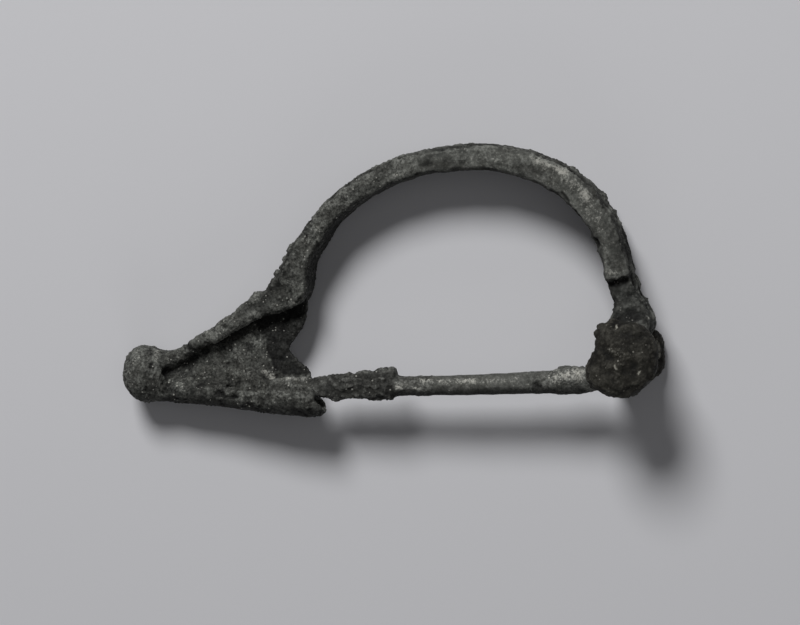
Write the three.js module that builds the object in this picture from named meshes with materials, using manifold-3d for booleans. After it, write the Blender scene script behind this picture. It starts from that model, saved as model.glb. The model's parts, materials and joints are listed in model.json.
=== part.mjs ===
// A Roman hinged bow brooch (fibula): bow, foot, catch-plate and hinge tube cast in one piece of bronze, a
// bronze pin that swings on an iron axis, and the rust that has swollen the axis into a lump at each end of
// the tube.
//
// Lengths are millimetres. The pieces are drawn in the brooch's own plane: x runs from the foot knob to the
// hinge, y from the catch up to the top of the bow, and z across the bow, towards the side that lies on top.
// The whole brooch is then laid on its other side, on three small flats: at the knob, bow and hinge axis.

import * as THREE from "three";
import { mergeVertices } from "three/addons/utils/BufferGeometryUtils.js";
import Module from "manifold-3d";

const wasm = await Module();
wasm.setup();

// The line of the bow, from the root of the foot to the hinge: a wide arc, then a tighter one to the hinge.
const FOOT_ROOT = new THREE.Vector2(2.6, 4.15);
const FOOT_END = new THREE.Vector2(12.2, 10.0);
const WIDE_ARC = { centre: new THREE.Vector2(32.6, 7.2), radius: 17.6, starts: 156 };
const TIGHT_ARC = { radius: 12.0, starts: 63, ends: 10 };
const NECK_END = new THREE.Vector2(48.45, 9.6);
const HAUNCH_PULL = 2.0;
const NECK_PULL = 1.7;

// The strap of the bow. Each pair is a distance along the line and the size there.
const STATION_GAP = 0.95;
const STRAP_STEP = 57.75;
const STEP_END = 57.95;
const STRAP_WIDTH = [
  [0, 3.0], [6, 3.2], [11, 3.6], [14, 4.0], [18, 5.0], [23, 5.35], [37, 5.35], [46, 5.15], [STRAP_STEP, 5.0],
  [STEP_END, 3.7], [60.6, 3.8], [61.4, 5.0], [62.0, 5.0], [62.6, 6.4],
];
const STRAP_OUTER = [
  [0, 1.2], [0.8, 1.15], [3.4, 0.45], [4.0, 0.4], [4.3, 0.52], [7.0, 0.55], [7.3, 0.7], [9.8, 0.68],
  [10.7, 1.1], [12.0, 1.15], [13.2, 0.85], [17, 1.05], [36, 1.0], [38, 1.15], [42, 1.4], [46, 1.7],
  [50, 1.75], [55, 1.5], [STRAP_STEP, 1.35], [60.0, 1.25], [61.2, 1.7], [62.3, 2.15], [63.4, 1.6],
];
const STRAP_INNER = [
  [0, 0.5], [7, 0.62], [11, 0.8], [15.6, 2.55], [17.6, 1.2], [24, 0.95], [30, 1.2], [36, 1.3], [40, 1.05],
  [43, 0.8], [53, 0.75], [STRAP_STEP, 1.0], [59.0, 0.95], [60.2, 1.15], [61.4, 2.0], [62.6, 1.9],
];
const RIB_HEIGHT = 0.34;
const RIB_AT = 0.8;
const RIB_REACH = 0.17;
const EDGE_DROP = 0.4;
const INNER_BEVEL = 0.38;
const SIDE_SWELL = 0.12;
const STRAP_WEAR = 0.07;
const WEAR_PITCH = 1.4;

// The knob that ends the foot, a button with a collar behind it.
const KNOB_ROOT = new THREE.Vector3(3.5, 3.5, 0);
const KNOB_PROFILE = [
  [0, 1.7], [0.35, 2.3], [0.95, 2.45], [1.15, 2.35], [1.5, 2.75], [2.2, 2.88], [2.9, 2.86], [3.5, 2.66],
  [3.95, 2.3], [4.25, 1.8], [4.42, 1.1],
];
const KNOB_SIDES = 26;
const KNOB_WEAR = 0.02;
const KNOB_PITCH = 2;
const KNOB_CHAMFER = { from: 3.05, radius: 2.9, slope: 1.6 };

// The catch-plate between foot and catch, and the thinner patch at its free edge where the crust is gone.
const PLATE_BACK = -0.6;
const PLATE_FRONT = 0.3;
const PATCH_FRONT = 0.06;
const PLATE_EDGE = [
  [17.3, 11.3], [17.1, 9.0], [16.1, 7.2], [15.5, 6.1], [16.4, 5.1], [17.6, 3.9], [17.4, 1.6],
];
const PATCH_EDGE = [[12.6, 9.0], [12.9, 6.0], [14.1, 3.4], [14.2, 1.6]];
const CRUSTED_TOP = [[12.2, 9.8], [3.2, 4.5], [3.2, 1.6]];
const BARED_TOP = [[14.5, 11.2], [12, 9.4], [12, 1.6]];
const EDGE_STEPS = 14;

// The catch, the lower edge of the plate rolled up into a channel for the pin.
const CATCH_UNDERSIDE = [
  [1.8, 0.75], [6.8, 0.72], [10.8, 0.32], [14.7, -0.06], [17.7, -0.28], [18.9, -0.05], [19.4, 0.4],
];
const CATCH_RADIUS = [
  [1.8, 1.15], [6.8, 1.25], [10.8, 1.45], [17.7, 1.7], [18.6, 1.45], [19.1, 1.05], [19.4, 0.5],
];
const CATCH_STATIONS = [
  1.8, 3.6, 5.4, 7.2, 9.0, 10.8, 12.6, 14.4, 16.2, 17.7, 18.2, 18.6, 18.9, 19.1, 19.3, 19.4,
];
const FULL_ROLL = 17.7;
const CATCH_WALL = 0.75;
const CATCH_SIDES = 10;
const LIP_RISE = [[17.2, 0.5], [18.4, 0.2], [19.4, 0.05]];
const LIP_REACH = 0.9;
const FILL_TOP = 3.5;
const CHANNEL_STATIONS = [9.6, 12, 14.5, FULL_ROLL, 20];
const CHANNEL_OPEN = 4;

// The hinge: a tube across the head of the bow, slotted for the eye of the pin, with the axis through both.
const HINGE = new THREE.Vector2(48.2, 5.2);
const TUBE_RADIUS = 2.4;
const TUBE_HALF = 3.4;
const AXIS_RADIUS = 0.9;
const AXIS_HALF = 4.4;
const BORE_RADIUS = 0.98;
const SLOT_HALF = 1.25;
const SLOT_RADIUS = 2.65;
const ROUND_SIDES = 28;

// The rust at the ends of the axis: distance across the brooch, size in x and y, and shift in x and y. A swell
// is an angle round the axis, a share of the size that is added there, and how many degrees it spreads.
const RUST_NEAR = [
  { z: 3.5, rx: 2.6, ry: 2.8, dx: 0.15, dy: 0.8 },
  { z: 3.9, rx: 3.1, ry: 3.4, dx: 0.15, dy: 1.2 },
  { z: 4.7, rx: 3.25, ry: 3.75, dx: 0.1, dy: 1.35 },
  { z: 5.5, rx: 3.0, ry: 3.4, dx: 0.1, dy: 1.2 },
  { z: 6.0, rx: 2.4, ry: 2.7, dx: 0, dy: 0.9 },
  { z: 6.25, rx: 1.3, ry: 1.4, dx: 0, dy: 0.6 },
];
const RUST_FAR = [
  { z: -6.2, rx: 1.6, ry: 1.6, dx: 0, dy: 0.3 },
  { z: -5.8, rx: 2.3, ry: 2.3, dx: 0.1, dy: 0.5 },
  { z: -5.0, rx: 2.8, ry: 2.8, dx: 0.1, dy: 0.75 },
  { z: -4.2, rx: 2.75, ry: 2.8, dx: 0.1, dy: 0.75 },
  { z: -3.5, rx: 2.2, ry: 2.3, dx: 0, dy: 0.5 },
];
const SWELLS_NEAR = [[163, -0.14, 20], [217, 0.18, 30], [305, -0.1, 22]];
const SWELLS_FAR = [[-35, 0.1, 22], [38, 0.12, 22]];
const RUST_WEAR = 0.022;
const RUST_PITCH = 1.6;

// The pin: its line from the eye to the tip, and its radius by distance from the hinge.
const EYE_RADIUS = 2.3;
const EYE_HALF = 1.0;
const PIN_LINE = [
  [47.6, 4.1, 0], [44.0, 3.85, 0.1], [38.0, 3.5, 0.35], [30.0, 3.1, 0.65], [24.0, 2.95, 0.85],
  [19.0, 2.75, 1.0], [13.9, 2.65, 1.15],
];
const PIN_RADIUS = [
  [0, 0.9], [2.6, 1.0], [3.2, 1.22], [5.6, 1.27], [6.6, 1.12], [12, 1.02], [18, 0.95], [21.6, 0.95],
  [22.0, 1.3], [24.5, 1.26], [27.4, 1.16], [29.0, 0.98], [30.4, 0.85], [32.6, 0.72], [33.5, 0.45],
];
const PIN_SIDES = 14;
const PIN_GAP = 0.8;
const PIN_WEAR = 0.05;
const PIN_PITCH = 2.5;

// Three points of the plane that the brooch lies on, at the axis, the knob and the bow. Each of them reaches
// a little past the plane and is cut flat there.
const RESTS_ON = [
  new THREE.Vector3(48.2, 5.3, -6.05),
  new THREE.Vector3(1.1, 3.4, -2.78),
  new THREE.Vector3(20.9, 21.7, -2.56),
];
const KEEP_SIZE = 200;

// The waves that make up the unevenness of the old surfaces: their rates in two directions, and their starts.
const WAVES = [[1.7, 2.1, 0], [2.9, -1.3, 0.7], [0.8, 3.7, 2]];

const BRONZE = new THREE.MeshStandardMaterial({ color: 0x4d5048, roughness: 0.72, metalness: 0.35 });
const PIN_BRONZE = new THREE.MeshStandardMaterial({ color: 0x6b6c62, roughness: 0.66, metalness: 0.4 });
const RUSTED_IRON = new THREE.MeshStandardMaterial({ color: 0x3d362f, roughness: 0.9, metalness: 0.15 });

const { mapLinear, degToRad } = THREE.MathUtils;

/** The value at one place of a list of [place, value] pairs, in a straight line between them. */
function along(pairs, place) {
  const next = pairs.findIndex(([at]) => at > place);
  if (next < 0) {
    return pairs.at(-1)[1];
  }
  if (next === 0) {
    return pairs[0][1];
  }
  const [from, a] = pairs[next - 1];
  const [to, b] = pairs[next];
  return mapLinear(place, from, to, a, b);
}

/** A smooth unevenness between -1 and 1, the same on every run. */
function unevenness(a, b) {
  const waves = WAVES.map(([alongA, alongB, start]) => Math.sin(alongA * a + alongB * b + start));
  return waves.reduce((sum, wave) => sum + wave, 0) / WAVES.length;
}

/** Points of an ellipse, anticlockwise. */
function ellipse(rx, ry, sides) {
  return Array.from({ length: sides }, (_, k) => {
    const angle = (2 * Math.PI * k) / sides;
    return new THREE.Vector2(rx * Math.cos(angle), ry * Math.sin(angle));
  });
}

/**
 * A closed geometry through flat sections with equally many points. place(point, index) puts a section's
 * point into space. Seen from the loft's end, each section runs anticlockwise.
 */
function loft(sections, place) {
  const around = sections[0].length;
  const points = sections.flatMap((section, index) => section.map((point) => place(point, index)));
  const triangles = [];
  for (let i = 0; i < sections.length - 1; i++) {
    for (let j = 0; j < around; j++) {
      const a = i * around + j;
      const b = i * around + ((j + 1) % around);
      triangles.push(a, b, b + around, a, b + around, a + around);
    }
  }
  const close = (section, first, facesOn) => {
    for (const [a, b, c] of THREE.ShapeUtils.triangulateShape(section, [])) {
      const anticlockwise = THREE.ShapeUtils.area([section[a], section[b], section[c]]) > 0;
      const order = anticlockwise === facesOn ? [a, b, c] : [c, b, a];
      triangles.push(...order.map((corner) => first + corner));
    }
  };
  close(sections[0], 0, false);
  close(sections.at(-1), (sections.length - 1) * around, true);
  const geometry = new THREE.BufferGeometry().setFromPoints(points);
  geometry.setIndex(triangles);
  return geometry;
}

/** A solid that can be joined and cut, from a closed geometry. */
function solid(geometry) {
  const bare = geometry.clone();
  bare.deleteAttribute("normal");
  bare.deleteAttribute("uv");
  const merged = mergeVertices(bare);
  const vertProperties = new Float32Array(merged.attributes.position.array);
  const triVerts = new Uint32Array(merged.index.array);
  return new wasm.Manifold(new wasm.Mesh({ numProp: 3, vertProperties, triVerts }));
}

/** A round bar across the brooch, centred on the hinge line. */
function barAcross(radius, half) {
  const bar = new THREE.CylinderGeometry(radius, radius, 2 * half, ROUND_SIDES);
  bar.rotateX(Math.PI / 2);
  bar.translate(HINGE.x, HINGE.y, 0);
  return solid(bar);
}

/** A named mesh from a finished solid. */
function piece(name, body, material) {
  const { vertProperties, triVerts } = body.getMesh();
  const geometry = new THREE.BufferGeometry();
  geometry.setAttribute("position", new THREE.BufferAttribute(vertProperties, 3));
  geometry.setIndex(new THREE.BufferAttribute(triVerts, 1));
  geometry.computeVertexNormals();
  const mesh = new THREE.Mesh(geometry, material);
  mesh.name = name;
  return mesh;
}

/** The line that the strap follows, from the foot's root to the middle of the hinge tube. */
function bowLine() {
  const onArc = (centre, radius, degrees) => {
    const angle = degToRad(degrees);
    return new THREE.Vector2(Math.cos(angle), Math.sin(angle)).multiplyScalar(radius).add(centre);
  };
  const heading = (degrees) => {
    const angle = degToRad(degrees);
    return new THREE.Vector2(Math.sin(angle), -Math.cos(angle));
  };
  const arc = (centre, radius, from, to) =>
    new THREE.EllipseCurve(centre.x, centre.y, radius, radius, degToRad(from), degToRad(to), true);
  const wide = WIDE_ARC;
  const tight = TIGHT_ARC;
  const tightCentre = onArc(wide.centre, wide.radius - tight.radius, tight.starts);
  const haunchTop = onArc(wide.centre, wide.radius, wide.starts);
  const neckTop = onArc(tightCentre, tight.radius, tight.ends);
  const footHeading = FOOT_END.clone().sub(FOOT_ROOT).normalize();
  const line = new THREE.CurvePath();
  line.add(new THREE.LineCurve(FOOT_ROOT, FOOT_END));
  line.add(new THREE.CubicBezierCurve(
    FOOT_END,
    FOOT_END.clone().addScaledVector(footHeading, HAUNCH_PULL),
    haunchTop.clone().addScaledVector(heading(wide.starts), -HAUNCH_PULL),
    haunchTop,
  ));
  line.add(arc(wide.centre, wide.radius, wide.starts, tight.starts));
  line.add(arc(tightCentre, tight.radius, tight.starts, tight.ends));
  line.add(new THREE.CubicBezierCurve(
    neckTop,
    neckTop.clone().addScaledVector(heading(tight.ends), NECK_PULL),
    NECK_END.clone().addScaledVector(heading(0), -NECK_PULL),
    NECK_END,
  ));
  line.add(new THREE.LineCurve(NECK_END, HINGE));
  return line;
}

/** How far the ribs of the outer face stand up, at a fraction of the half width from the middle. */
function ribLift(fraction) {
  const rib = (middle) => Math.max(0, 1 - ((fraction - middle) / RIB_REACH) ** 2);
  return RIB_HEIGHT * (rib(-RIB_AT) + rib(0) + rib(RIB_AT));
}

/** The strap's section at a distance along its line: x points out of the bow, y across it. */
function strapSection(distance) {
  const half = along(STRAP_WIDTH, distance) / 2;
  const outer = along(STRAP_OUTER, distance);
  const inner = along(STRAP_INNER, distance);
  const fractions = [-RIB_AT, 0, RIB_AT].flatMap((rib) => [rib - RIB_REACH, rib, rib + RIB_REACH]);
  const points = [
    [outer - EDGE_DROP, -half],
    ...fractions.map((fraction) => [outer - RIB_HEIGHT / 2 + ribLift(fraction), fraction * half]),
    [outer - EDGE_DROP, half],
    [(outer - inner) / 2, half + SIDE_SWELL],
    [INNER_BEVEL - inner, half],
    [-inner, half - INNER_BEVEL],
    [-inner, 0],
    [-inner, INNER_BEVEL - half],
    [INNER_BEVEL - inner, -half],
    [(outer - inner) / 2, -half - SIDE_SWELL],
  ];
  return points.map(([out, across]) => {
    const wear = STRAP_WEAR * unevenness(distance, WEAR_PITCH * across + out);
    return new THREE.Vector2(out + wear * Math.sign(out), across + wear * Math.sign(across));
  });
}

/** Bow, foot and neck as one ribbed strap, narrowed to a neck above the hinge. */
function strap() {
  const line = bowLine();
  const length = line.getLength();
  const count = Math.round(length / STATION_GAP);
  const even = Array.from({ length: count + 1 }, (_, k) => (k * length) / count);
  const atStep = [STRAP_STEP, STEP_END];
  const isClear = (distance) => atStep.every((step) => Math.abs(distance - step) > STATION_GAP / 6);
  const stations = [...even.filter(isClear), ...atStep].sort((a, b) => a - b);
  return solid(loft(stations.map(strapSection), (point, index) => {
    const place = stations[index] / length;
    const middle = line.getPoint(place);
    const forward = line.getTangent(place);
    return new THREE.Vector3(middle.x - forward.y * point.x, middle.y + forward.x * point.x, point.y);
  }));
}

/** The foot knob, worn away on its lower outer side. */
function knob() {
  const sections = KNOB_PROFILE.map(([, radius]) => ellipse(radius, radius, KNOB_SIDES));
  const turned = loft(sections, (point, index) => {
    const depth = KNOB_PROFILE[index][0];
    const lowest = KNOB_CHAMFER.radius - KNOB_CHAMFER.slope * Math.max(0, depth - KNOB_CHAMFER.from);
    const wear = 1 + KNOB_WEAR * unevenness(KNOB_PITCH * depth, KNOB_PITCH * point.x + point.y);
    return new THREE.Vector3(-depth, Math.max(-point.x * wear, -lowest), point.y * wear);
  });
  turned.translate(KNOB_ROOT.x, KNOB_ROOT.y, KNOB_ROOT.z);
  return solid(turned);
}

/** A flat sheet, from its back to the given front: a smooth broken edge, closed by straight lines. */
function sheet(edge, corners, front) {
  const toPoints = (pairs) => pairs.map((pair) => new THREE.Vector2(...pair));
  const broken = new THREE.SplineCurve(toPoints(edge)).getPoints(EDGE_STEPS).reverse();
  const shape = new THREE.Shape([...broken, ...toPoints(corners)]);
  const flat = new THREE.ExtrudeGeometry(shape, { depth: front - PLATE_BACK, bevelEnabled: false });
  flat.translate(0, 0, PLATE_BACK);
  return solid(flat);
}

/** The catch-plate, with its patch of lower surface. */
function catchPlate() {
  return sheet(PATCH_EDGE, CRUSTED_TOP, PLATE_FRONT).add(sheet(PLATE_EDGE, BARED_TOP, PATCH_FRONT));
}

/** Middle and radius of the catch's roll at one distance from the knob. */
function rollAt(x) {
  const radius = along(CATCH_RADIUS, x);
  const z = PLATE_BACK + along(CATCH_RADIUS, Math.min(x, FULL_ROLL));
  return { radius, y: along(CATCH_UNDERSIDE, x) + radius, z };
}

/** The lower half of a circle in a section across the catch, from its near side to its far side. */
function lowerHalf(radius, y, z) {
  return Array.from({ length: CATCH_SIDES + 1 }, (_, k) => {
    const angle = Math.PI / 2 + (Math.PI * k) / CATCH_SIDES;
    return new THREE.Vector2(y + radius * Math.cos(angle), z + radius * Math.sin(angle));
  });
}

/** The rolled lower edge of the plate, open upwards over the length that holds the pin. */
function rolledCatch() {
  const roll = loft(CATCH_STATIONS.map((x) => {
    const { radius, y, z } = rollAt(x);
    const lip = y + along(LIP_RISE, x);
    const top = x < CHANNEL_STATIONS[0] ? FILL_TOP : lip;
    const back = Math.max(PLATE_BACK, z - radius);
    return [
      ...lowerHalf(radius, y, z),
      new THREE.Vector2(top, back),
      new THREE.Vector2(top, Math.max(PLATE_FRONT, (back + z) / 2)),
      new THREE.Vector2(lip, z + radius * LIP_REACH),
    ];
  }), (point, index) => new THREE.Vector3(CATCH_STATIONS[index], point.x, point.y));
  const channel = loft(CHANNEL_STATIONS.map((x) => {
    const { radius, y, z } = rollAt(Math.min(x, FULL_ROLL));
    const inside = radius - CATCH_WALL;
    return [
      ...lowerHalf(inside, y, z),
      new THREE.Vector2(y + CHANNEL_OPEN, z - inside),
      new THREE.Vector2(y + CHANNEL_OPEN, z + inside),
    ];
  }), (point, index) => new THREE.Vector3(CHANNEL_STATIONS[index], point.x, point.y));
  return solid(roll).subtract(solid(channel));
}

/** Everything that was cast in one piece with the bow. */
function bowCasting() {
  const tube = barAcross(TUBE_RADIUS, TUBE_HALF);
  const cast = strap().add(knob()).add(catchPlate()).add(rolledCatch()).add(tube);
  return cast.subtract(barAcross(SLOT_RADIUS, SLOT_HALF)).subtract(barAcross(BORE_RADIUS, 2 * TUBE_HALF));
}

/** One lump of rust, through its rings from back to front, with its swells. */
function rustLump(rings, swells) {
  return solid(loft(rings.map(({ rx, ry }) => ellipse(rx, ry, ROUND_SIDES)), (point, index) => {
    const { z, dx, dy } = rings[index];
    const swell = swells.reduce((sum, [degrees, share, spread]) => {
      const away = new THREE.Vector2(Math.cos(degToRad(degrees)), Math.sin(degToRad(degrees))).angleTo(point);
      return sum + share * Math.exp(-((away / degToRad(spread)) ** 2));
    }, 0);
    const grown = 1 + swell + RUST_WEAR * unevenness(RUST_PITCH * point.x, RUST_PITCH * point.y + z);
    return new THREE.Vector3(HINGE.x + dx + point.x * grown, HINGE.y + dy + point.y * grown, z);
  }));
}

/** The iron axis and the rust at its ends. */
function rustedAxis() {
  return barAcross(AXIS_RADIUS, AXIS_HALF)
    .add(rustLump(RUST_NEAR, SWELLS_NEAR))
    .add(rustLump(RUST_FAR, SWELLS_FAR));
}

/** The pin with its eye. A sleeve of crust covers it next to the catch. */
function hingedPin() {
  const line = new THREE.CatmullRomCurve3(PIN_LINE.map((place) => new THREE.Vector3(...place)));
  const length = line.getLength();
  const count = Math.round(length / PIN_GAP);
  const distances = Array.from({ length: count + 1 }, (_, k) => (k * length) / count);
  const sections = distances.map((distance) => {
    const radius = along(PIN_RADIUS, distance);
    return ellipse(radius, radius, PIN_SIDES);
  });
  const shank = loft(sections, (point, index) => {
    const place = distances[index] / length;
    const middle = line.getPointAt(place);
    const grown = 1 + PIN_WEAR * unevenness(distances[index], PIN_PITCH * (point.x + point.y));
    return new THREE.Vector3(middle.x, middle.y - point.x * grown, middle.z + point.y * grown);
  });
  return barAcross(EYE_RADIUS, EYE_HALF).add(solid(shank)).subtract(barAcross(BORE_RADIUS, 2 * EYE_HALF));
}

const stance = new THREE.Plane().setFromCoplanarPoints(RESTS_ON[0], RESTS_ON[2], RESTS_ON[1]);
const upright = new THREE.Vector3(0, 0, 1);
const layDown = new THREE.Quaternion().setFromUnitVectors(stance.normal, upright);

/** The solid without what would reach below the plane that the brooch lies on. */
function cutFlat(body) {
  const above = new THREE.BoxGeometry(KEEP_SIZE, KEEP_SIZE, KEEP_SIZE);
  above.translate(0, 0, KEEP_SIZE / 2);
  above.applyQuaternion(layDown.clone().invert());
  above.translate(RESTS_ON[0].x, RESTS_ON[0].y, RESTS_ON[0].z);
  return body.intersect(solid(above));
}

const brooch = new THREE.Group();
brooch.add(piece("bow", cutFlat(bowCasting()), BRONZE));
brooch.add(piece("hinge_axis", cutFlat(rustedAxis()), RUSTED_IRON));
brooch.add(piece("pin", hingedPin(), PIN_BRONZE));
brooch.quaternion.copy(layDown);
const laid = new THREE.Box3().setFromObject(brooch, true);
const middle = laid.getCenter(new THREE.Vector3());
brooch.position.set(-middle.x, -middle.y, -laid.min.z);

export default brooch;
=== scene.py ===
import json
import random

import bmesh
import bpy
import numpy as np
from mathutils import Matrix, Vector, noise
from mathutils.bvhtree import BVHTree


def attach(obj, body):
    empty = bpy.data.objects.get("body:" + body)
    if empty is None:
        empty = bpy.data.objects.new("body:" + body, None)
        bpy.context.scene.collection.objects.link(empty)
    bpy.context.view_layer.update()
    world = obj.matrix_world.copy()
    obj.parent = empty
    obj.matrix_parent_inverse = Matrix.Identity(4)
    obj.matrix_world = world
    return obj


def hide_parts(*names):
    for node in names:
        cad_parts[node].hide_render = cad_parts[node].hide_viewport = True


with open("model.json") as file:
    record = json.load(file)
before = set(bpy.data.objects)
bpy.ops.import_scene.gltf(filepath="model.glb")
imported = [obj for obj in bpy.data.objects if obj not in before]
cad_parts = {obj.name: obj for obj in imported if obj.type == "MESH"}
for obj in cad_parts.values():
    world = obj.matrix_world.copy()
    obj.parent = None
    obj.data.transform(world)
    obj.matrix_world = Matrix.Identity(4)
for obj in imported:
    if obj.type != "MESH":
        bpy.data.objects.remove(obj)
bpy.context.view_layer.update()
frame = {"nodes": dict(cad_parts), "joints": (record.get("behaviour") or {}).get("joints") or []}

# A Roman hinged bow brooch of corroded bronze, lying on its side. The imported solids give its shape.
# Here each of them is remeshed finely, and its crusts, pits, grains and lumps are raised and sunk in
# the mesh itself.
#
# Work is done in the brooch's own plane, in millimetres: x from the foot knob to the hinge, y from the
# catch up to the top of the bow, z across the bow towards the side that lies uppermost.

MM = 0.001

# The hinge: its middle, the iron rod in its bore, and the pin's eye in the slot of the tube.
HINGE = (48.2, 5.2)
AXIS_RADIUS = 0.9
BORE_RADIUS = 0.98
EYE_RADIUS = 2.3
EYE_HALF = 1.0
SLOT_RADIUS = 2.65
SLOT_HALF = 1.25
TUBE_RADIUS = 2.4

# The rod ends nearer to the middle than this. Farther out to either side there is only rust.
RUST_CAP = 5.0

# How the brooch lies in the row frame: its plane is turned, then moved. The pin's joint says how, for
# the pin turns at the middle of the hinge, about an axis that runs against the plane's own z.
SWING = frame["joints"][0]
LAID_DOWN = Vector((0.0, 0.0, 1.0)).rotation_difference(-Vector(SWING["axis"]))
PLACE = Vector(SWING["pos_m"]) / MM - LAID_DOWN @ Vector((*HINGE, 0.0))
TO_ROW = Matrix.Scale(MM, 4) @ Matrix.Translation(PLACE) @ LAID_DOWN.to_matrix().to_4x4()
TO_PLANE = TO_ROW.inverted()

# Points of the fine meshes that would lie lower than this over the floor are raised to it.
FLOOR_GAP = 0.02 * MM

# The middle of the strap's arch, how far up it starts, the collar of the knob, the right-hand end of
# the pin's sleeve of crust, and how far the tip of the pin stays smooth in the catch.
ARCH_MIDDLE = (33.5, 9.0)
ARCH_FOOT = 10.0
COLLAR_END = 4.2
SLEEVE_END = 26.0
SMOOTH_TIP = 13.5

# The fine meshes: the size of their cells, the gap that is welded shut, the rounds of averaging that
# bring out the sharp edges, and how ragged the outlines of the marks are.
CELL = 0.14
PIN_CELL = 0.8 * CELL
WELD = 0.002
EDGE_ROUNDS = 24
RAGGED_EDGE = 0.22
SEED = 11

# How fast the finer waves of the fractal noise grow weaker, and how much finer each is than the last.
WEAKER = 0.9
FINER = 2.1


# What each point of a piece tells its material.
TOLD = ("relief", "tone", "edge", "grit")


# ---------------------------------------------------------------- surfaces


def add_lump(made, centre, radii):
    place = Matrix.Translation(centre) @ Matrix.Diagonal((*radii, 1.0))
    bmesh.ops.create_icosphere(made, subdivisions=2, radius=1.0, matrix=place)


def add_crumbs(made, crumbs):
    """Small lumps scattered over the surface, drawn in the boxes that the rows of crumbs give."""
    surface = BVHTree.FromBMesh(made)
    draw = random.Random(SEED)
    for low, high, count, least, greatest in crumbs:
        for _ in range(count):
            guess = Vector([draw.uniform(a, b) for a, b in zip(low, high)])
            radius = draw.uniform(least, greatest)
            radii = [radius * draw.uniform(0.7, 1.3) for _ in range(3)]
            add_lump(made, surface.find_nearest(guess)[0], radii)


def dense(node, name, cell, lumps, crumbs):
    """A new object in the brooch's plane: a fine even mesh of a CAD node, its lumps and its crumbs."""
    mesh = frame["nodes"][node].data.copy()
    mesh.transform(TO_PLANE)
    made = bmesh.new()
    made.from_mesh(mesh)
    bmesh.ops.remove_doubles(made, verts=made.verts, dist=WELD)
    add_crumbs(made, crumbs)
    for centre, radii in lumps:
        add_lump(made, centre, radii)
    made.to_mesh(mesh)
    made.free()
    rough = bpy.data.objects.new(name + "_start", mesh)
    bpy.context.scene.collection.objects.link(rough)
    remesh = rough.modifiers.new("remesh", "REMESH")
    remesh.mode = "VOXEL"
    remesh.voxel_size = cell
    bpy.context.view_layer.update()
    graph = bpy.context.evaluated_depsgraph_get()
    fine = bpy.data.meshes.new_from_object(rough.evaluated_get(graph))
    bpy.data.objects.remove(rough)
    fine.materials.clear()
    piece = bpy.data.objects.new(name, fine)
    bpy.context.scene.collection.objects.link(piece)
    return piece


def read(mesh):
    """Points and normals of a mesh."""
    points = np.empty(len(mesh.vertices) * 3, np.float32)
    normals = np.empty(len(mesh.vertices) * 3, np.float32)
    mesh.vertices.foreach_get("co", points)
    mesh.vertex_normals.foreach_get("vector", normals)
    return points.reshape(-1, 3).astype(float), normals.reshape(-1, 3).astype(float)


def edge_ends(mesh):
    """The two points of each edge of a mesh, by number."""
    ends = np.empty(len(mesh.edges) * 2, np.int32)
    mesh.edges.foreach_get("vertices", ends)
    return ends.reshape(-1, 2)


def averaged(values, ends, rounds):
    """Values evened out along the edges of a mesh, that many times."""
    count = np.bincount(ends.ravel(), minlength=len(values)) + 1.0
    for _ in range(rounds):
        columns = []
        for column in values.T:
            total = column + np.bincount(ends[:, 0], column[ends[:, 1]], len(values))
            total = total + np.bincount(ends[:, 1], column[ends[:, 0]], len(values))
            columns.append(total / count)
        values = np.stack(columns, axis=1)
    return values


def smooth(low, high, value):
    """0 below low, 1 above high, and an even curve between them."""
    share = np.clip((value - low) / (high - low), 0, 1)
    return share * share * (3 - 2 * share)


def waves(points, pitch, octaves, shift=0.0):
    """Fractal noise of the given coarsest pitch, about -1 to 1."""
    places = points / pitch + shift
    return np.array([noise.fractal(Vector(p), WEAKER, FINER, octaves) for p in places])


def grains(points, size, shift=0.0):
    """Rounded grains of about the given size: 1 at the middle of a grain, 0 between grains."""
    near = np.array([noise.voronoi(Vector(p))[0][:2] for p in points / size + shift])
    return np.clip(near[:, 1] - near[:, 0], 0, 1)


def reach(points, start, end):
    """How far each point lies from the line between two places."""
    a, b = np.array(start, float), np.array(end, float)
    along = b - a
    share = np.clip((points - a) @ along / (along @ along), 0, 1)
    return np.linalg.norm(points - a - share[:, None] * along, axis=1)


def marks(points, ragged, spots):
    """Lift and tone that the rows of spots give each point."""
    lift, tone = np.zeros(len(points)), np.zeros(len(points))
    for start, end, radius, raised, shade, edge in spots:
        away = reach(points, start, end) / radius + RAGGED_EDGE * ragged
        share = 1 - smooth(1 - edge, 1, away)
        lift += raised * share
        tone += shade * share
    return lift, tone


def from_middle(points, middle):
    """How far each point lies from a place in the brooch's plane, and which way."""
    arm = points[:, :2] - np.array(middle)
    away = np.linalg.norm(arm, axis=1)
    return away, arm / away[:, None]


def finish_piece(piece, moved, relief, tone, grit, body, node):
    """Writes the worked points back, lays the piece down in the row frame and hands it to the frame."""
    mesh = piece.data
    # How far each point stands out of its evened-out copy. The material paints sharp edges lighter as
    # wear, and creases darker as painted shade.
    evened = averaged(moved, edge_ends(mesh), EDGE_ROUNDS)
    edge = np.sum((moved - evened) * read(mesh)[1], axis=1)
    mesh.vertices.foreach_set("co", moved.astype(np.float32).ravel())
    mesh.transform(TO_ROW)
    laid = np.empty(len(mesh.vertices) * 3, np.float32)
    mesh.vertices.foreach_get("co", laid)
    laid[2::3] = np.maximum(laid[2::3], FLOOR_GAP)
    mesh.vertices.foreach_set("co", laid)
    for name, values in zip(TOLD, (relief, tone, edge, grit)):
        attribute = mesh.attributes.new(name, "FLOAT", "POINT")
        attribute.data.foreach_set("value", values.astype(np.float32))
    mesh.polygons.foreach_set("use_smooth", [True] * len(mesh.polygons))
    mesh.update()
    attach(piece, body)
    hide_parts(node)
    return piece
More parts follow.
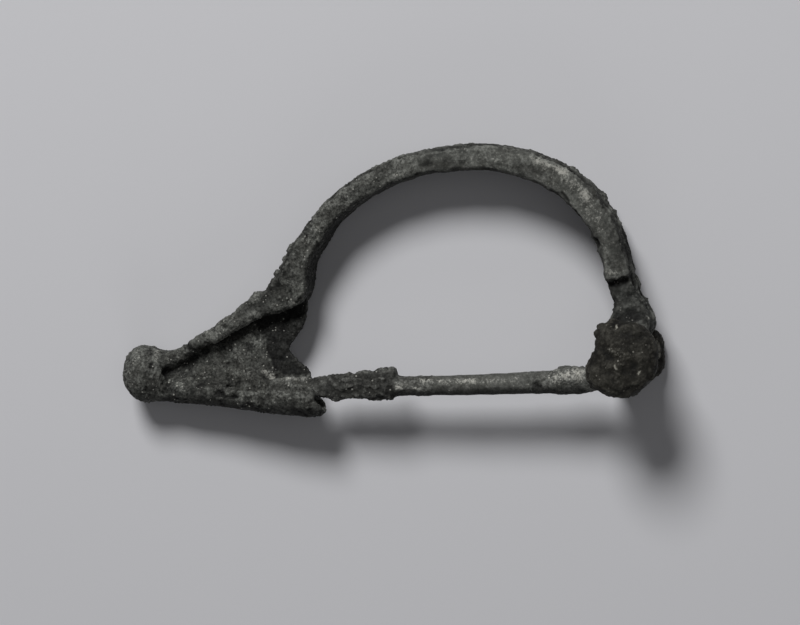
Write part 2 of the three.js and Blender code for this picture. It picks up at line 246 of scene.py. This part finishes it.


# ---------------------------------------------------------------- the marks of corrosion, with painted shade and highlights among them

# Each row is a line between two places and a radius around it, how far the surface is raised there,
# how much lighter it is, and how much of the radius the mark's slope takes.
BOW_SPOTS = [
    # knob and collar
    ((2.4, 5.7, 0.9), (2.5, 5.0, 1.6), 0.7, 0.1, 0.8, 0.7),
    ((3.5, 3.9, 1.4), (4.1, 3.5, 1.2), 0.75, -0.24, -0.7, 0.8),
    ((1.9, 6.3, 0.7), (2.3, 4.4, 2.3), 0.3, -0.14, -0.5, 0.9),
    ((0.6, 5.8, 1.2), (1.1, 4.6, 2.4), 1.1, 0.04, 0.25, 0.9),
    ((0.2, 2.0, 1.5), (1.8, 1.2, 1.8), 1.2, 0.0, -0.5, 0.8),
    ((1.9, 4.4, 1.4), (2.2, 4.2, 1.4), 3.2, 0.0, -0.2, 0.8),
    # foot
    ((6.0, 7.0, 1.5), (13.0, 11.0, 1.8), 1.3, 0.0, -0.4, 0.8),
    ((4.6, 5.8, 1.6), (6.8, 6.9, 1.6), 1.2, 0.0, -0.3, 0.8),
    ((12.4, 11.2, 1.8), (12.8, 11.4, 1.3), 0.9, 0.32, 0.6, 0.8),
    ((6.2, 7.1, 1.4), (11.4, 10.4, 1.6), 0.8, 0.08, 0.3, 0.8),
    ((8.3, 8.4, 1.5), (8.5, 8.0, 1.7), 0.4, -0.18, -0.5, 0.9),
    ((5.6, 6.7, 1.2), (5.9, 6.3, 1.5), 0.45, -0.16, -0.5, 0.9),
    # the angle between the foot and the plate, with painted shade in the angle
    ((3.8, 4.6, 0.8), (6.2, 5.6, 0.5), 0.6, 0.0, -0.25, 0.9),
    ((6.2, 5.6, 0.5), (11.4, 8.8, 0.3), 0.5, -0.06, -0.5, 0.9),
    ((11.4, 8.8, 0.3), (17.0, 11.4, 0.3), 0.6, 0.0, -0.6, 0.9),
    # the foot's lower edge, raised, with a little painted light on it
    ((5.6, 6.2, 1.3), (8.6, 7.6, 1.5), 0.8, 0.25, 0.2, 0.9),
    ((8.6, 7.5, 1.4), (12.4, 9.5, 1.8), 1.0, 0.3, 0.2, 0.8),
    # plate
    ((13.4, 10.0, 0.1), (15.2, 5.2, 0.1), 1.5, -0.04, -1.3, 0.2),
    ((16.2, 10.4, 0.1), (16.6, 4.8, 0.1), 1.4, -0.04, -1.0, 0.4),
    ((15.2, 6.6, 0.2), (16.5, 5.4, 0.1), 0.16, 0.08, 2.2, 0.9),
    ((13.0, 4.0, 0.3), (13.9, 3.4, 0.3), 0.5, 0.06, 1.0, 0.9),
    ((6.5, 3.9, 0.5), (11.5, 3.7, 0.5), 0.9, 0.1, 0.2, 0.9),
    # catch
    ((6.0, 2.6, 1.4), (18.0, 2.2, 1.9), 1.3, 0.0, -0.32, 0.8),
    # painted shade on the underside of the catch
    ((4.0, 1.1, 1.4), (18.2, 0.2, 1.8), 1.9, 0.0, -0.85, 0.8),
    ((8.9, 2.1, 2.0), (9.3, 2.0, 2.1), 0.42, -0.28, -0.8, 0.8),
    # a shallow groove along the catch, with painted shade in it
    ((8.9, 1.7, 2.1), (12.2, 1.7, 2.3), 0.2, -0.14, -0.7, 0.9),
    ((14.2, 2.15, 2.2), (17.8, 1.95, 2.4), 0.75, 0.3, 0.2, 0.9),
    # a notch under the pin, with painted shade in it
    ((18.6, 1.5, 0.9), (18.7, 1.5, 1.6), 0.45, -0.24, -0.6, 0.8),
    ((10.8, 2.9, 1.0), (13.2, 2.6, 1.4), 0.7, 0.1, 0.15, 0.9),
    # haunch
    ((15.5, 14.5, 2.3), (18.0, 17.0, 2.5), 1.8, 0.0, -0.2, 0.8),
    ((17.6, 16.6, 2.7), (18.8, 17.8, 2.7), 0.9, -0.04, 0.5, 0.5),
    ((14.5, 13.8, 1.7), (14.9, 14.4, 1.1), 0.75, 0.28, 0.2, 0.8),
    ((13.9, 12.2, 2.2), (16.2, 13.4, 2.4), 1.2, 0.08, -0.35, 0.8),
    ((16.4, 15.4, 2.6), (16.0, 16.0, 2.4), 0.5, 0.14, 0.15, 0.8),
    # left side and top of the bow
    ((20.6, 20.1, 2.5), (20.9, 20.4, 2.5), 0.5, 0.12, 0.3, 0.8),
    ((23.6, 22.4, 2.6), (24.2, 22.8, 2.6), 0.55, 0.08, 0.35, 0.8),
    ((28.9, 24.2, 2.6), (29.8, 24.4, 2.6), 0.5, -0.1, -0.3, 0.8),
    ((27.0, 24.4, 2.5), (36.5, 25.2, 2.5), 1.8, 0.0, 0.25, 0.8),
    # right side of the bow
    ((40.0, 24.0, 2.5), (45.5, 19.0, 2.5), 1.8, 0.0, 0.2, 0.8),
    ((39.4, 24.9, 2.5), (42.4, 23.7, 2.5), 0.6, 0.05, 0.75, 0.9),
    ((42.2, 23.6, 2.6), (44.3, 21.7, 2.6), 0.9, 0.06, 0.55, 0.9),
    ((44.0, 21.4, 2.6), (45.4, 19.6, 2.6), 0.8, 0.05, 0.45, 0.9),
    ((45.6, 19.2, 2.6), (46.4, 16.4, 2.6), 0.5, 0.04, 0.35, 0.9),
    ((42.2, 21.6, 2.6), (42.6, 20.9, 2.6), 0.3, -0.16, -0.6, 0.8),
    ((41.1, 21.5, 2.2), (41.5, 21.2, 2.2), 0.55, -0.32, -0.5, 0.8),
    ((43.2, 19.6, 2.2), (43.5, 19.2, 2.2), 0.6, -0.32, -0.5, 0.8),
    ((45.2, 17.1, 2.2), (45.3, 16.7, 2.2), 0.5, -0.28, -0.5, 0.8),
    ((39.2, 25.6, 0.6), (39.8, 25.4, 0.0), 0.8, 0.2, 0.1, 0.8),
    ((42.8, 24.1, 0.2), (43.3, 23.8, -0.6), 0.8, 0.22, 0.1, 0.8),
    ((45.6, 21.3, -1.4), (46.2, 20.7, -0.6), 0.9, 0.2, 0.1, 0.8),
    ((48.4, 14.6, 0.4), (48.5, 14.0, -0.4), 0.8, 0.24, 0.1, 0.8),
    ((47.9, 18.2, 1.0), (48.6, 14.6, 1.2), 0.22, 0.06, 0.8, 0.9),
    # the step above the neck, its crumbling lower edge and the hollow under it, with painted shade in
    # the hollow
    ((46.4, 14.4, 2.4), (47.2, 14.3, 2.4), 0.6, 0.1, 0.8, 0.8),
    ((46.0, 13.7, 2.4), (48.0, 14.0, 2.4), 0.28, 0.12, 0.1, 0.8),
    ((46.0, 13.0, 1.9), (47.9, 13.3, 1.9), 0.5, -0.14, -0.5, 0.9),
    # neck
    ((47.8, 11.9, 2.0), (49.8, 10.6, 1.6), 2.0, 0.0, -0.5, 0.5),
    ((49.2, 11.3, 2.0), (48.0, 11.1, 2.1), 0.4, 0.12, 0.1, 0.9),
    ((50.6, 10.2, -1.2), (50.7, 10.1, -0.2), 0.8, 0.25, 0.0, 0.8),
    # the hollow between the neck's lip and the rust, with painted shade in it
    ((48.9, 10.4, 2.6), (47.2, 10.1, 2.4), 0.9, -0.16, -1.3, 0.9),
    # a pale streak down the right-hand edge of the tube, partly a painted highlight
    ((50.2, 10.2, 2.4), (50.7, 9.4, 1.0), 0.3, 0.08, 0.9, 0.9),
    ((50.7, 9.4, 1.0), (50.8, 5.5, -3.9), 0.55, 0.08, 1.1, 0.9),
]

PIN_SPOTS = [
    ((14.0, 2.7, 1.2), (25.9, 3.1, 0.8), 1.8, 0.0, -0.35, 0.2),
    ((24.2, 4.2, 0.9), (25.7, 4.3, 0.8), 0.9, 0.2, -0.2, 0.8),
    ((22.6, 4.1, 1.2), (23.4, 4.1, 0.8), 0.5, 0.18, 0.0, 0.8),
    ((21.0, 4.0, 1.2), (21.5, 4.0, 1.0), 0.6, 0.14, 0.2, 0.8),
    ((20.0, 3.7, 1.2), (20.3, 3.7, 1.0), 0.4, -0.14, -0.3, 0.8),
    ((14.6, 2.1, 1.9), (18.4, 2.2, 1.9), 0.85, 0.26, 0.1, 0.9),
    ((14.6, 3.5, 1.5), (17.6, 3.6, 1.5), 0.6, 0.1, 0.8, 0.9),
    ((16.4, 3.0, 2.0), (18.4, 2.8, 2.0), 0.7, 0.05, 0.45, 0.9),
    ((26.4, 3.2, 1.7), (27.2, 3.3, 1.6), 0.6, 0.05, 0.8, 0.9),
    ((26.3, 2.9, 1.8), (26.8, 2.8, 1.8), 0.4, 0.06, 1.2, 0.9),
    ((27.8, 2.9, 1.8), (28.6, 2.9, 1.8), 0.4, 0.06, 1.1, 0.9),
    ((28.6, 3.7, 1.6), (33.4, 3.8, 1.6), 0.6, 0.05, 0.82, 0.9),
    ((33.5, 3.8, 1.5), (37.5, 4.0, 1.3), 0.7, 0.0, 0.45, 0.9),
    ((39.6, 3.6, 1.4), (39.9, 3.3, 1.4), 0.6, -0.2, -0.9, 0.8),
    # painted shade along the underside of the pin
    ((26.6, 2.1, 1.0), (44.0, 2.4, 0.9), 1.3, 0.0, -1.1, 0.8),
    ((41.6, 4.2, 1.2), (44.6, 4.7, 1.0), 1.0, 0.14, 0.95, 0.9),
]

RUST_SPOTS = [
    ((45.7, 9.0, 4.6), (45.9, 9.8, 4.4), 0.7, 0.25, 0.0, 0.8),
    ((44.9, 5.6, 4.8), (45.1, 4.6, 4.6), 0.7, 0.2, 0.55, 0.8),
    # pale streaks down the right-hand edges of the rust, partly painted highlights
    ((50.6, 9.6, 3.6), (51.1, 7.6, 4.9), 0.24, 0.14, 1.2, 0.9),
    ((50.4, 8.6, -3.6), (50.7, 6.0, -3.7), 0.5, 0.08, 1.2, 0.9),
    ((46.6, 7.4, 5.9), (47.2, 6.8, 6.1), 0.7, -0.14, -0.3, 0.9),
    ((49.2, 6.2, 6.1), (49.4, 5.2, 6.0), 0.7, -0.12, -0.3, 0.9),
    ((47.6, 9.9, 5.2), (48.4, 10.0, 5.0), 0.7, -0.24, -0.7, 0.8),
    ((47.5, 4.6, 6.2), (48.2, 4.2, 6.0), 0.7, 0.2, 0.0, 0.8),
    # painted highlights: small glints on the rust
    ((47.7, 9.5, 5.5), (47.6, 9.8, 5.4), 0.24, 0.1, 1.8, 0.7),
    ((47.1, 9.3, 5.4), (47.2, 9.6, 5.3), 0.18, 0.06, 1.4, 0.7),
    ((49.9, 9.1, 5.5), (50.0, 9.0, 5.4), 0.2, 0.06, 1.4, 0.7),
    ((47.8, 5.8, 6.25), (47.7, 6.1, 6.25), 0.2, 0.08, 1.5, 0.7),
    ((49.8, 5.3, 6.2), (49.9, 5.5, 6.2), 0.13, 0.06, 1.4, 0.7),
    ((47.0, 7.6, 5.9), (48.6, 7.0, 6.1), 0.8, 0.08, 0.45, 0.9),
]

# Crust that stands too far out to be lifted from the surface: middle and radii of each lump.
BOW_LUMPS = [
    ((4.1, 4.8, 0.6), (0.7, 0.5, 0.5)),
    ((5.1, 5.2, 0.6), (0.8, 0.45, 0.5)),
    ((6.2, 5.8, 0.5), (0.9, 0.4, 0.45)),
    ((7.5, 6.4, 0.5), (1.0, 0.35, 0.4)),
    ((14.6, 2.7, 2.0), (0.9, 0.8, 0.4)),
    ((15.8, 2.5, 2.1), (0.9, 0.9, 0.4)),
    ((16.9, 2.4, 2.1), (0.9, 0.8, 0.4)),
    ((17.9, 2.3, 2.0), (0.8, 0.7, 0.4)),
]

PIN_LUMPS = [
    ((14.7, 3.0, 1.2), (1.0, 0.6, 0.6)),
    ((15.9, 3.2, 1.2), (1.0, 0.6, 0.6)),
    ((17.2, 3.1, 1.2), (1.0, 0.7, 0.6)),
    ((18.5, 3.2, 1.1), (1.1, 0.6, 0.6)),
    ((21.0, 3.4, 1.0), (1.2, 0.7, 0.6)),
    ((23.0, 3.5, 0.9), (1.2, 0.8, 0.8)),
    ((24.9, 3.7, 0.8), (1.1, 1.0, 1.0)),
    ((25.6, 3.8, 0.8), (0.5, 1.0, 1.1)),
    ((25.6, 2.5, 0.8), (0.5, 1.0, 1.2)),
    ((24.4, 2.1, 0.8), (1.2, 0.6, 0.9)),
    ((22.2, 2.1, 0.9), (1.1, 0.5, 0.8)),
]

# Scattered crumbs: low and high corner of their box, number, least and greatest radius.
BOW_CRUMBS = [
    ((12.0, 1.0, 1.6), (19.0, 3.0, 2.6), 34, 0.14, 0.3),
    ((4.0, 1.2, 1.4), (12.0, 3.2, 2.6), 30, 0.12, 0.28),
    ((12.0, 11.0, 1.5), (17.0, 17.0, 3.0), 34, 0.12, 0.28),
    ((38.0, 14.0, -2.6), (50.0, 27.0, 2.0), 50, 0.14, 0.3),
    ((46.0, 9.5, -2.6), (51.0, 14.0, 2.0), 16, 0.14, 0.3),
]

PIN_CRUMBS = [
    ((19.5, 1.0, -1.0), (26.0, 5.0, 3.0), 170, 0.12, 0.3),
    ((14.5, 1.0, 1.4), (19.5, 5.0, 3.0), 50, 0.12, 0.26),
    ((26.4, 3.4, 0.0), (31.0, 5.0, 3.0), 20, 0.1, 0.2),
    ((41.2, 4.2, 0.0), (44.6, 6.0, 3.0), 60, 0.16, 0.34),
]

RUST_CRUMBS = [
    ((44.0, 7.0, 3.0), (47.0, 11.0, 6.0), 26, 0.2, 0.42),
    ((42.0, 1.0, 3.0), (52.0, 11.0, 7.0), 60, 0.14, 0.3),
    ((42.0, 1.0, -7.0), (52.0, 11.0, -3.0), 30, 0.14, 0.28),
]


# ---------------------------------------------------------------- the three pieces


def faces_of_strap(points, normals):
    """How far a point belongs to the outer and to the inner face of the strap, each from 0 to 1."""
    _, outwards = from_middle(points, ARCH_MIDDLE)
    facing = np.sum(normals[:, :2] * outwards, axis=1)
    strap = smooth(ARCH_FOOT, ARCH_FOOT + 2.0, points[:, 1])
    return strap * smooth(0.45, 0.8, facing), strap * smooth(0.45, 0.8, -facing)


def along_strap(points):
    """Faint streaks that run along the strap, about -1 to 1."""
    away, outwards = from_middle(points, ARCH_MIDDLE)
    turned = np.arctan2(outwards[:, 1], outwards[:, 0])
    stretched = np.stack([away, 2.0 * turned, 0.3 * points[:, 2]], axis=1)
    return waves(stretched, pitch=0.5, octaves=3, shift=23.0)


def bronze_bow():
    piece = dense("bow", "bow_bronze", CELL, BOW_LUMPS, BOW_CRUMBS)
    points, normals = read(piece.data)
    x, y, z = points.T
    away, _ = from_middle(points, HINGE)

    ends = edge_ends(piece.data)
    soft = averaged(points, ends, 6)
    softer = averaged(soft, ends, 50)
    at_collar = 1 - smooth(COLLAR_END, COLLAR_END + 1.4, x)
    soft += (0.85 * at_collar)[:, None] * (softer - soft)

    ragged = waves(points, pitch=0.9, octaves=3, shift=7.0)
    broad = waves(points, pitch=2.6, octaves=4)
    coarse = smooth(-0.5, 0.5, waves(points, pitch=1.8, octaves=2, shift=3.0))
    pits = smooth(0.3, 0.7, waves(points, pitch=0.8, octaves=3, shift=11.0))
    grain = (0.4 + coarse) * (grains(points, 0.42) - 0.3)
    lift, tone = marks(points, ragged, BOW_SPOTS)

    outer, inner = faces_of_strap(points, normals)
    ribs = waves(points * (0.12, 0.12, 1.0), pitch=0.4, octaves=3, shift=17.0)
    flow = along_strap(points)
    even = smooth(17.5, 21.5, x) * smooth(13.0, 14.5, y) * (1 - outer)
    relief = 0.08 * broad + 0.06 * ragged - (0.12 - 0.06 * even) * pits + (0.15 - 0.09 * even) * grain
    relief += 0.03 * even * flow + 0.09 * outer * ribs
    # The inner face of the strap is painted darker as shade. The outer face is darker too, streaked
    # along its ribs.
    tone += outer * (0.6 * ribs - 0.4) - 0.55 * inner + 0.3 * even * flow

    on_tube = 1 - smooth(TUBE_RADIUS + 0.2, TUBE_RADIUS + 1.0, away)
    on_tube *= smooth(SLOT_HALF + 0.25, SLOT_HALF + 0.55, np.abs(z))
    relief += on_tube * (0.1 * ragged + 0.14 * (grains(points, 0.9, 41.0) - 0.4))
    tone -= 0.3 * on_tube

    # The bore and the walls of the slot stay as they are, so the pin can turn.
    past_slot = smooth(SLOT_RADIUS + 0.1, SLOT_RADIUS + 0.55, away)
    past_bore = smooth(BORE_RADIUS + 0.32, BORE_RADIUS + 0.92, away)
    worked = np.where(np.abs(z) < SLOT_HALF + 0.1, past_slot, past_bore)[:, None]
    moved = points + worked * (soft - points + normals * (relief + lift)[:, None])
    depth = relief + 0.5 * np.minimum(lift, 0)
    grit = 0.45 + 0.55 * (1 - smooth(20.0, 34.0, x)) + 0.3 * broad
    return finish_piece(piece, moved, depth, tone, grit, "bow", "bow")


def bronze_pin():
    piece = dense("pin", "pin_bronze", PIN_CELL, PIN_LUMPS, PIN_CRUMBS)
    points, normals = read(piece.data)
    x, _, z = points.T
    away, outwards = from_middle(points, HINGE)
    soft = averaged(points, edge_ends(piece.data), 4)

    ragged = waves(points, pitch=0.8, octaves=3, shift=21.0)
    broad = waves(points, pitch=1.5, octaves=3, shift=4.0)
    sleeve = 1 - smooth(SLEEVE_END - 0.1, SLEEVE_END + 0.2, x + 0.15 * ragged)
    even = smooth(29.0, 31.0, x) * (1 - smooth(38.0, 39.0, x))
    rough = 0.06 + 0.05 * sleeve - 0.035 * even
    grain = 0.08 * (0.6 + sleeve - 0.4 * even) * (grains(points, 0.36, 5.0) - 0.3)
    relief = rough * (broad + 0.8 * ragged) + grain
    lift, tone = marks(points, ragged, PIN_SPOTS)

    # The eye keeps its bore and its flat sides, so it can turn. Only its round side is rough.
    faces_out = smooth(0.85, 0.97, np.sum(normals[:, :2] * outwards, axis=1))
    on_eye = faces_out * smooth(EYE_RADIUS - 0.4, EYE_RADIUS - 0.2, away)
    on_eye *= 1 - smooth(EYE_HALF - 0.2, EYE_HALF, np.abs(z))
    past_eye = smooth(EYE_RADIUS + 0.6, EYE_RADIUS + 1.3, away)
    worked = np.maximum(past_eye, 0.6 * on_eye)[:, None]
    height = smooth(SMOOTH_TIP, SMOOTH_TIP + 4.0, x) * (relief + lift)
    moved = points + worked * (soft - points + normals * height[:, None])
    grit = 0.8 + 0.3 * broad - 0.4 * even
    return finish_piece(piece, moved, relief, tone, grit, "pin", "pin")


def rusted_axis():
    piece = dense("hinge_axis", "hinge_axis_rust", CELL, [], RUST_CRUMBS)
    points, normals = read(piece.data)
    away, _ = from_middle(points, HINGE)
    soft = averaged(points, edge_ends(piece.data), 12)

    ragged = waves(points, pitch=0.8, octaves=4, shift=31.0)
    broad = waves(points, pitch=2.0, octaves=4, shift=14.0)
    relief = 0.1 * broad + 0.1 * ragged
    relief += 0.07 * (grains(points, 1.3, 2.0) - 0.35) + 0.13 * (grains(points, 0.45, 9.0) - 0.3)
    lift, tone = marks(points, ragged, RUST_SPOTS)

    # The rod inside the hinge stays as it is.
    in_cap = 2 * np.maximum(0, np.abs(points[:, 2]) - RUST_CAP)
    worked = smooth(AXIS_RADIUS + 0.1, AXIS_RADIUS + 0.8, away + in_cap)[:, None]
    moved = points + worked * (soft - points + normals * (relief + lift)[:, None])
    grit = 0.5 + 0.3 * broad
    return finish_piece(piece, moved, relief, tone, grit, "bow", "hinge_axis")


# ---------------------------------------------------------------- materials


# The sockets of a mix node that it uses for colours.
MIX_SHARE = 0
MIX_FIRST = 6
MIX_SECOND = 7
MIX_RESULT = 2


class Nodes:
    """Small helpers for building one material's nodes. Lengths are in millimetres."""

    def __init__(self, name):
        self.material = bpy.data.materials.new(name)
        self.material.use_nodes = True
        self.tree = self.material.node_tree
        self.shader = self.tree.nodes["Principled BSDF"]
        place = self.add("ShaderNodeTexCoord")
        self.mm = self.scaled(place.outputs["Object"], 1 / MM)

    def add(self, kind, **settings):
        node = self.tree.nodes.new(kind)
        for key, value in settings.items():
            setattr(node, key, value)
        return node

    def put(self, socket, value):
        if isinstance(value, bpy.types.NodeSocket):
            self.tree.links.new(value, socket)
        else:
            socket.default_value = value

    def filled(self, node, *values):
        """The node's output, once its first inputs hold these values."""
        for socket, value in zip(node.inputs, values):
            self.put(socket, value)
        return node.outputs[0]

    def maths(self, operation, a, b):
        return self.filled(self.add("ShaderNodeMath", operation=operation), a, b)

    def times(self, a, b):
        return self.maths("MULTIPLY", a, b)

    def plus(self, a, b):
        return self.maths("ADD", a, b)

    def span(self, value, low, high, to_low=0.0, to_high=1.0):
        """The value carried from one span to another, along an even curve."""
        node = self.add("ShaderNodeMapRange", interpolation_type="SMOOTHSTEP")
        return self.filled(node, value, low, high, to_low, to_high)

    def scaled(self, vector, factor):
        node = self.add("ShaderNodeVectorMath", operation="SCALE")
        self.put(node.inputs[0], vector)
        self.put(node.inputs["Scale"], factor)
        return node.outputs[0]

    def noise(self, pitch, detail, roughness, shift, warp=0.0):
        node = self.add("ShaderNodeTexNoise", noise_dimensions="4D")
        self.put(node.inputs["Vector"], self.mm)
        node.inputs["W"].default_value = shift
        node.inputs["Scale"].default_value = 1 / pitch
        node.inputs["Detail"].default_value = detail
        node.inputs["Roughness"].default_value = roughness
        node.inputs["Distortion"].default_value = warp
        return node.outputs["Fac"]

    def mix(self, share, a, b):
        node = self.add("ShaderNodeMix", data_type="RGBA")
        self.put(node.inputs[MIX_SHARE], share)
        self.put(node.inputs[MIX_FIRST], a)
        self.put(node.inputs[MIX_SECOND], b)
        return node.outputs[MIX_RESULT]

    def attribute(self, name):
        return self.add("ShaderNodeAttribute", attribute_name=name).outputs["Fac"]

    def specks(self, pitch, share, size):
        """Sparse round specks: only the cells whose own number is under share carry one."""
        cell = self.add("ShaderNodeTexVoronoi")
        self.put(cell.inputs["Vector"], self.mm)
        cell.inputs["Scale"].default_value = 1 / pitch
        apart = self.add("ShaderNodeSeparateColor")
        self.put(apart.inputs[0], cell.outputs["Color"])
        chosen = self.maths("LESS_THAN", apart.outputs[0], share)
        grown = self.times(apart.outputs[1], size)
        return self.times(chosen, self.span(cell.outputs["Distance"], grown, self.times(grown, 0.5)))


# Every colour here holds a little less blue than a true grey.
LESS_BLUE = 0.07


def grey(value, warm=0.0, green=0.0):
    """A near-neutral colour: brightness, with a little warmth or green in it."""
    red = value * (1 + warm)
    return (red, value * (1 + 0.35 * warm + green), value * (1 - LESS_BLUE - warm), 1.0)


def corroded(name, dark, middle, light, pale, specks, rough):
    """A corroded surface: mottled at three scales, dark in its hollows, worn light on its edges and
    painted darker as shade in its creases, with pale crusts and pale specks that are partly painted
    sparkle. The piece's own attributes say how deep, how light, how sharp and how grainy it is at each
    point; how light it is holds painted shade and highlights too."""
    nodes = Nodes(name)
    relief, tone, edge, grit = (nodes.attribute(given) for given in TOLD)
    broad = nodes.noise(pitch=2.6, detail=4.0, roughness=0.6, shift=1.0, warp=0.4)
    patch = nodes.noise(pitch=0.5, detail=4.0, roughness=0.75, shift=3.0, warp=0.5)
    grain = nodes.noise(pitch=0.22, detail=3.0, roughness=0.8, shift=5.0)
    uneven = nodes.noise(pitch=0.3, detail=4.0, roughness=0.7, shift=9.0)

    base = nodes.mix(nodes.span(broad, 0.38, 0.64), dark, middle)
    stands_out = nodes.plus(nodes.plus(relief, nodes.times(edge, 2.4)), patch)
    base = nodes.mix(nodes.span(stands_out, 0.48, 0.8, 0.0, 0.8), base, light)

    shade = nodes.span(relief, -0.22, 0.06, 0.45, 1.05)
    # painted shade: creases come out darker
    shade = nodes.times(shade, nodes.span(edge, -0.12, 0.02, 0.4, 1.0))
    shade = nodes.times(shade, nodes.span(tone, -1.0, 0.6, 0.25, 1.3))
    grained = nodes.span(grain, 0.32, 0.68, -0.7, 0.7)
    shade = nodes.times(shade, nodes.plus(nodes.times(grained, grit), 1.0))
    base = nodes.scaled(base, shade)

    mottled = nodes.plus(nodes.times(patch, 0.9), nodes.times(grain, 1.5))
    crust = nodes.plus(nodes.times(tone, 0.5), mottled)
    base = nodes.mix(nodes.span(crust, 1.4, 1.9), base, pale)
    # Pale specks: partly pale grains of crust, partly painted sparkle.
    large = nodes.specks(pitch=0.5, share=specks * 0.5, size=0.3)
    small = nodes.specks(pitch=0.28, share=specks * 3.5, size=0.42)
    speck = nodes.maths("MAXIMUM", large, small)
    base = nodes.mix(nodes.times(speck, nodes.span(grit, 0.3, 1.0, 0.3, 0.9)), base, pale)

    nodes.put(nodes.shader.inputs["Base Color"], base)
    nodes.put(nodes.shader.inputs["Roughness"], nodes.span(grain, 0.3, 0.75, *rough))
    nodes.shader.inputs["Specular IOR Level"].default_value = 0.25
    bumped = nodes.add("ShaderNodeBump")
    bumped.inputs["Strength"].default_value = 1.0
    bumped.inputs["Distance"].default_value = 0.12 * MM
    nodes.put(bumped.inputs["Height"], nodes.plus(uneven, nodes.times(patch, 0.6)))
    nodes.put(nodes.shader.inputs["Normal"], bumped.outputs[0])
    return nodes.material


def bronze_patina():
    return corroded(
        "bronze_patina", dark=grey(0.045, 0.02, 0.02), middle=grey(0.06, 0.0, 0.03),
        light=grey(0.115, 0.0, 0.02), pale=grey(0.30, 0.02), specks=0.07, rough=(0.95, 0.6),
    )


def pin_patina():
    return corroded(
        "pin_patina", dark=grey(0.05, 0.02, 0.02), middle=grey(0.078, 0.0, 0.02),
        light=grey(0.13, 0.0, 0.01), pale=grey(0.42, 0.02), specks=0.04, rough=(0.9, 0.55),
    )


def iron_rust():
    return corroded(
        "rusted_iron", dark=grey(0.010, 0.15), middle=grey(0.018, 0.12),
        light=grey(0.036, 0.08), pale=grey(0.24, 0.05), specks=0.025, rough=(0.95, 0.6),
    )


# ---------------------------------------------------------------- floor, light and camera

FLOOR_SIZE = 3.0
FLOOR_COLOUR = (0.56, 0.56, 0.58, 1.0)
SKY_COLOUR = (0.9, 0.9, 0.93, 1.0)
SKY_STRENGTH = 0.085

# The lamps shine on this place, in metres.
LAMPS_AIM = Vector((0.0, 0.0, 0.005))

# The camera looks at this place, from this direction and this far away, and sees this width there.
# All four are in the brooch's own axes and millimetres.
LOOKS_AT = Vector((26.29, 9.95, 0.0))
LOOKS_FROM = Vector((0.20, 0.10, 1.0))
CAMERA_AWAY = 270.0
VIEW_WIDTH = 76.19
SENSOR_WIDTH = 36.0

# The camera sees nothing nearer or farther than these, in metres.
NEAREST = 0.01
FARTHEST = 10.0


def pale_floor():
    bpy.ops.mesh.primitive_plane_add(size=FLOOR_SIZE)
    floor = bpy.context.object
    floor.name = "floor"
    material = bpy.data.materials.new("pale_floor")
    material.use_nodes = True
    shader = material.node_tree.nodes["Principled BSDF"]
    shader.inputs["Base Color"].default_value = FLOOR_COLOUR
    shader.inputs["Roughness"].default_value = 0.9
    floor.data.materials.append(material)


def lamp(name, direction, away, size, power):
    """A round lamp that shines on the brooch from a direction, in metres and watts."""
    light = bpy.data.lights.new(name, "AREA")
    light.shape = "DISK"
    light.size = size
    light.energy = power
    holder = bpy.data.objects.new(name, light)
    bpy.context.scene.collection.objects.link(holder)
    towards = Vector(direction).normalized()
    holder.location = LAMPS_AIM + towards * away
    holder.rotation_mode = "QUATERNION"
    holder.rotation_quaternion = towards.to_track_quat("Z", "Y")


def studio():
    lamp("key", direction=(-0.18, 0.71, 0.68), away=0.6, size=0.2, power=3.6)
    lamp("fill", direction=(0.3, 0.2, 0.95), away=0.8, size=0.6, power=0.3)
    lamp("front", direction=(0.1, -0.9, 0.3), away=0.7, size=0.4, power=0.45)
    world = bpy.data.worlds.new("soft_light")
    world.use_nodes = True
    colour, strength = world.node_tree.nodes["Background"].inputs[:2]
    colour.default_value = SKY_COLOUR
    strength.default_value = SKY_STRENGTH
    bpy.context.scene.world = world
    bpy.context.scene.view_settings.view_transform = "Standard"


def camera():
    seen = bpy.data.cameras.new("camera")
    seen.sensor_width = SENSOR_WIDTH
    seen.lens = SENSOR_WIDTH * CAMERA_AWAY / VIEW_WIDTH
    seen.clip_start = NEAREST
    seen.clip_end = FARTHEST
    holder = bpy.data.objects.new("camera", seen)
    bpy.context.scene.collection.objects.link(holder)
    turn = LAID_DOWN.to_matrix()
    back = (turn @ LOOKS_FROM).normalized()
    above = turn @ Vector((0.0, 1.0, 0.0))
    right = above.cross(back).normalized()
    above = back.cross(right)
    facing = Matrix((right, above, back)).transposed().to_4x4()
    place = TO_ROW @ LOOKS_AT + back * CAMERA_AWAY * MM
    holder.matrix_world = Matrix.Translation(place) @ facing
    bpy.context.scene.camera = holder


# ---------------------------------------------------------------- the scene

# Each piece and the hidden solid that it stands for get the same material.

camera()
pale_floor()
studio()

for node, make, material in (
    ("bow", bronze_bow, bronze_patina()),
    ("pin", bronze_pin, pin_patina()),
    ("hinge_axis", rusted_axis, iron_rust()),
):
    make().data.materials.append(material)
    hidden = frame["nodes"][node].data
    hidden.materials.clear()
    hidden.materials.append(material)
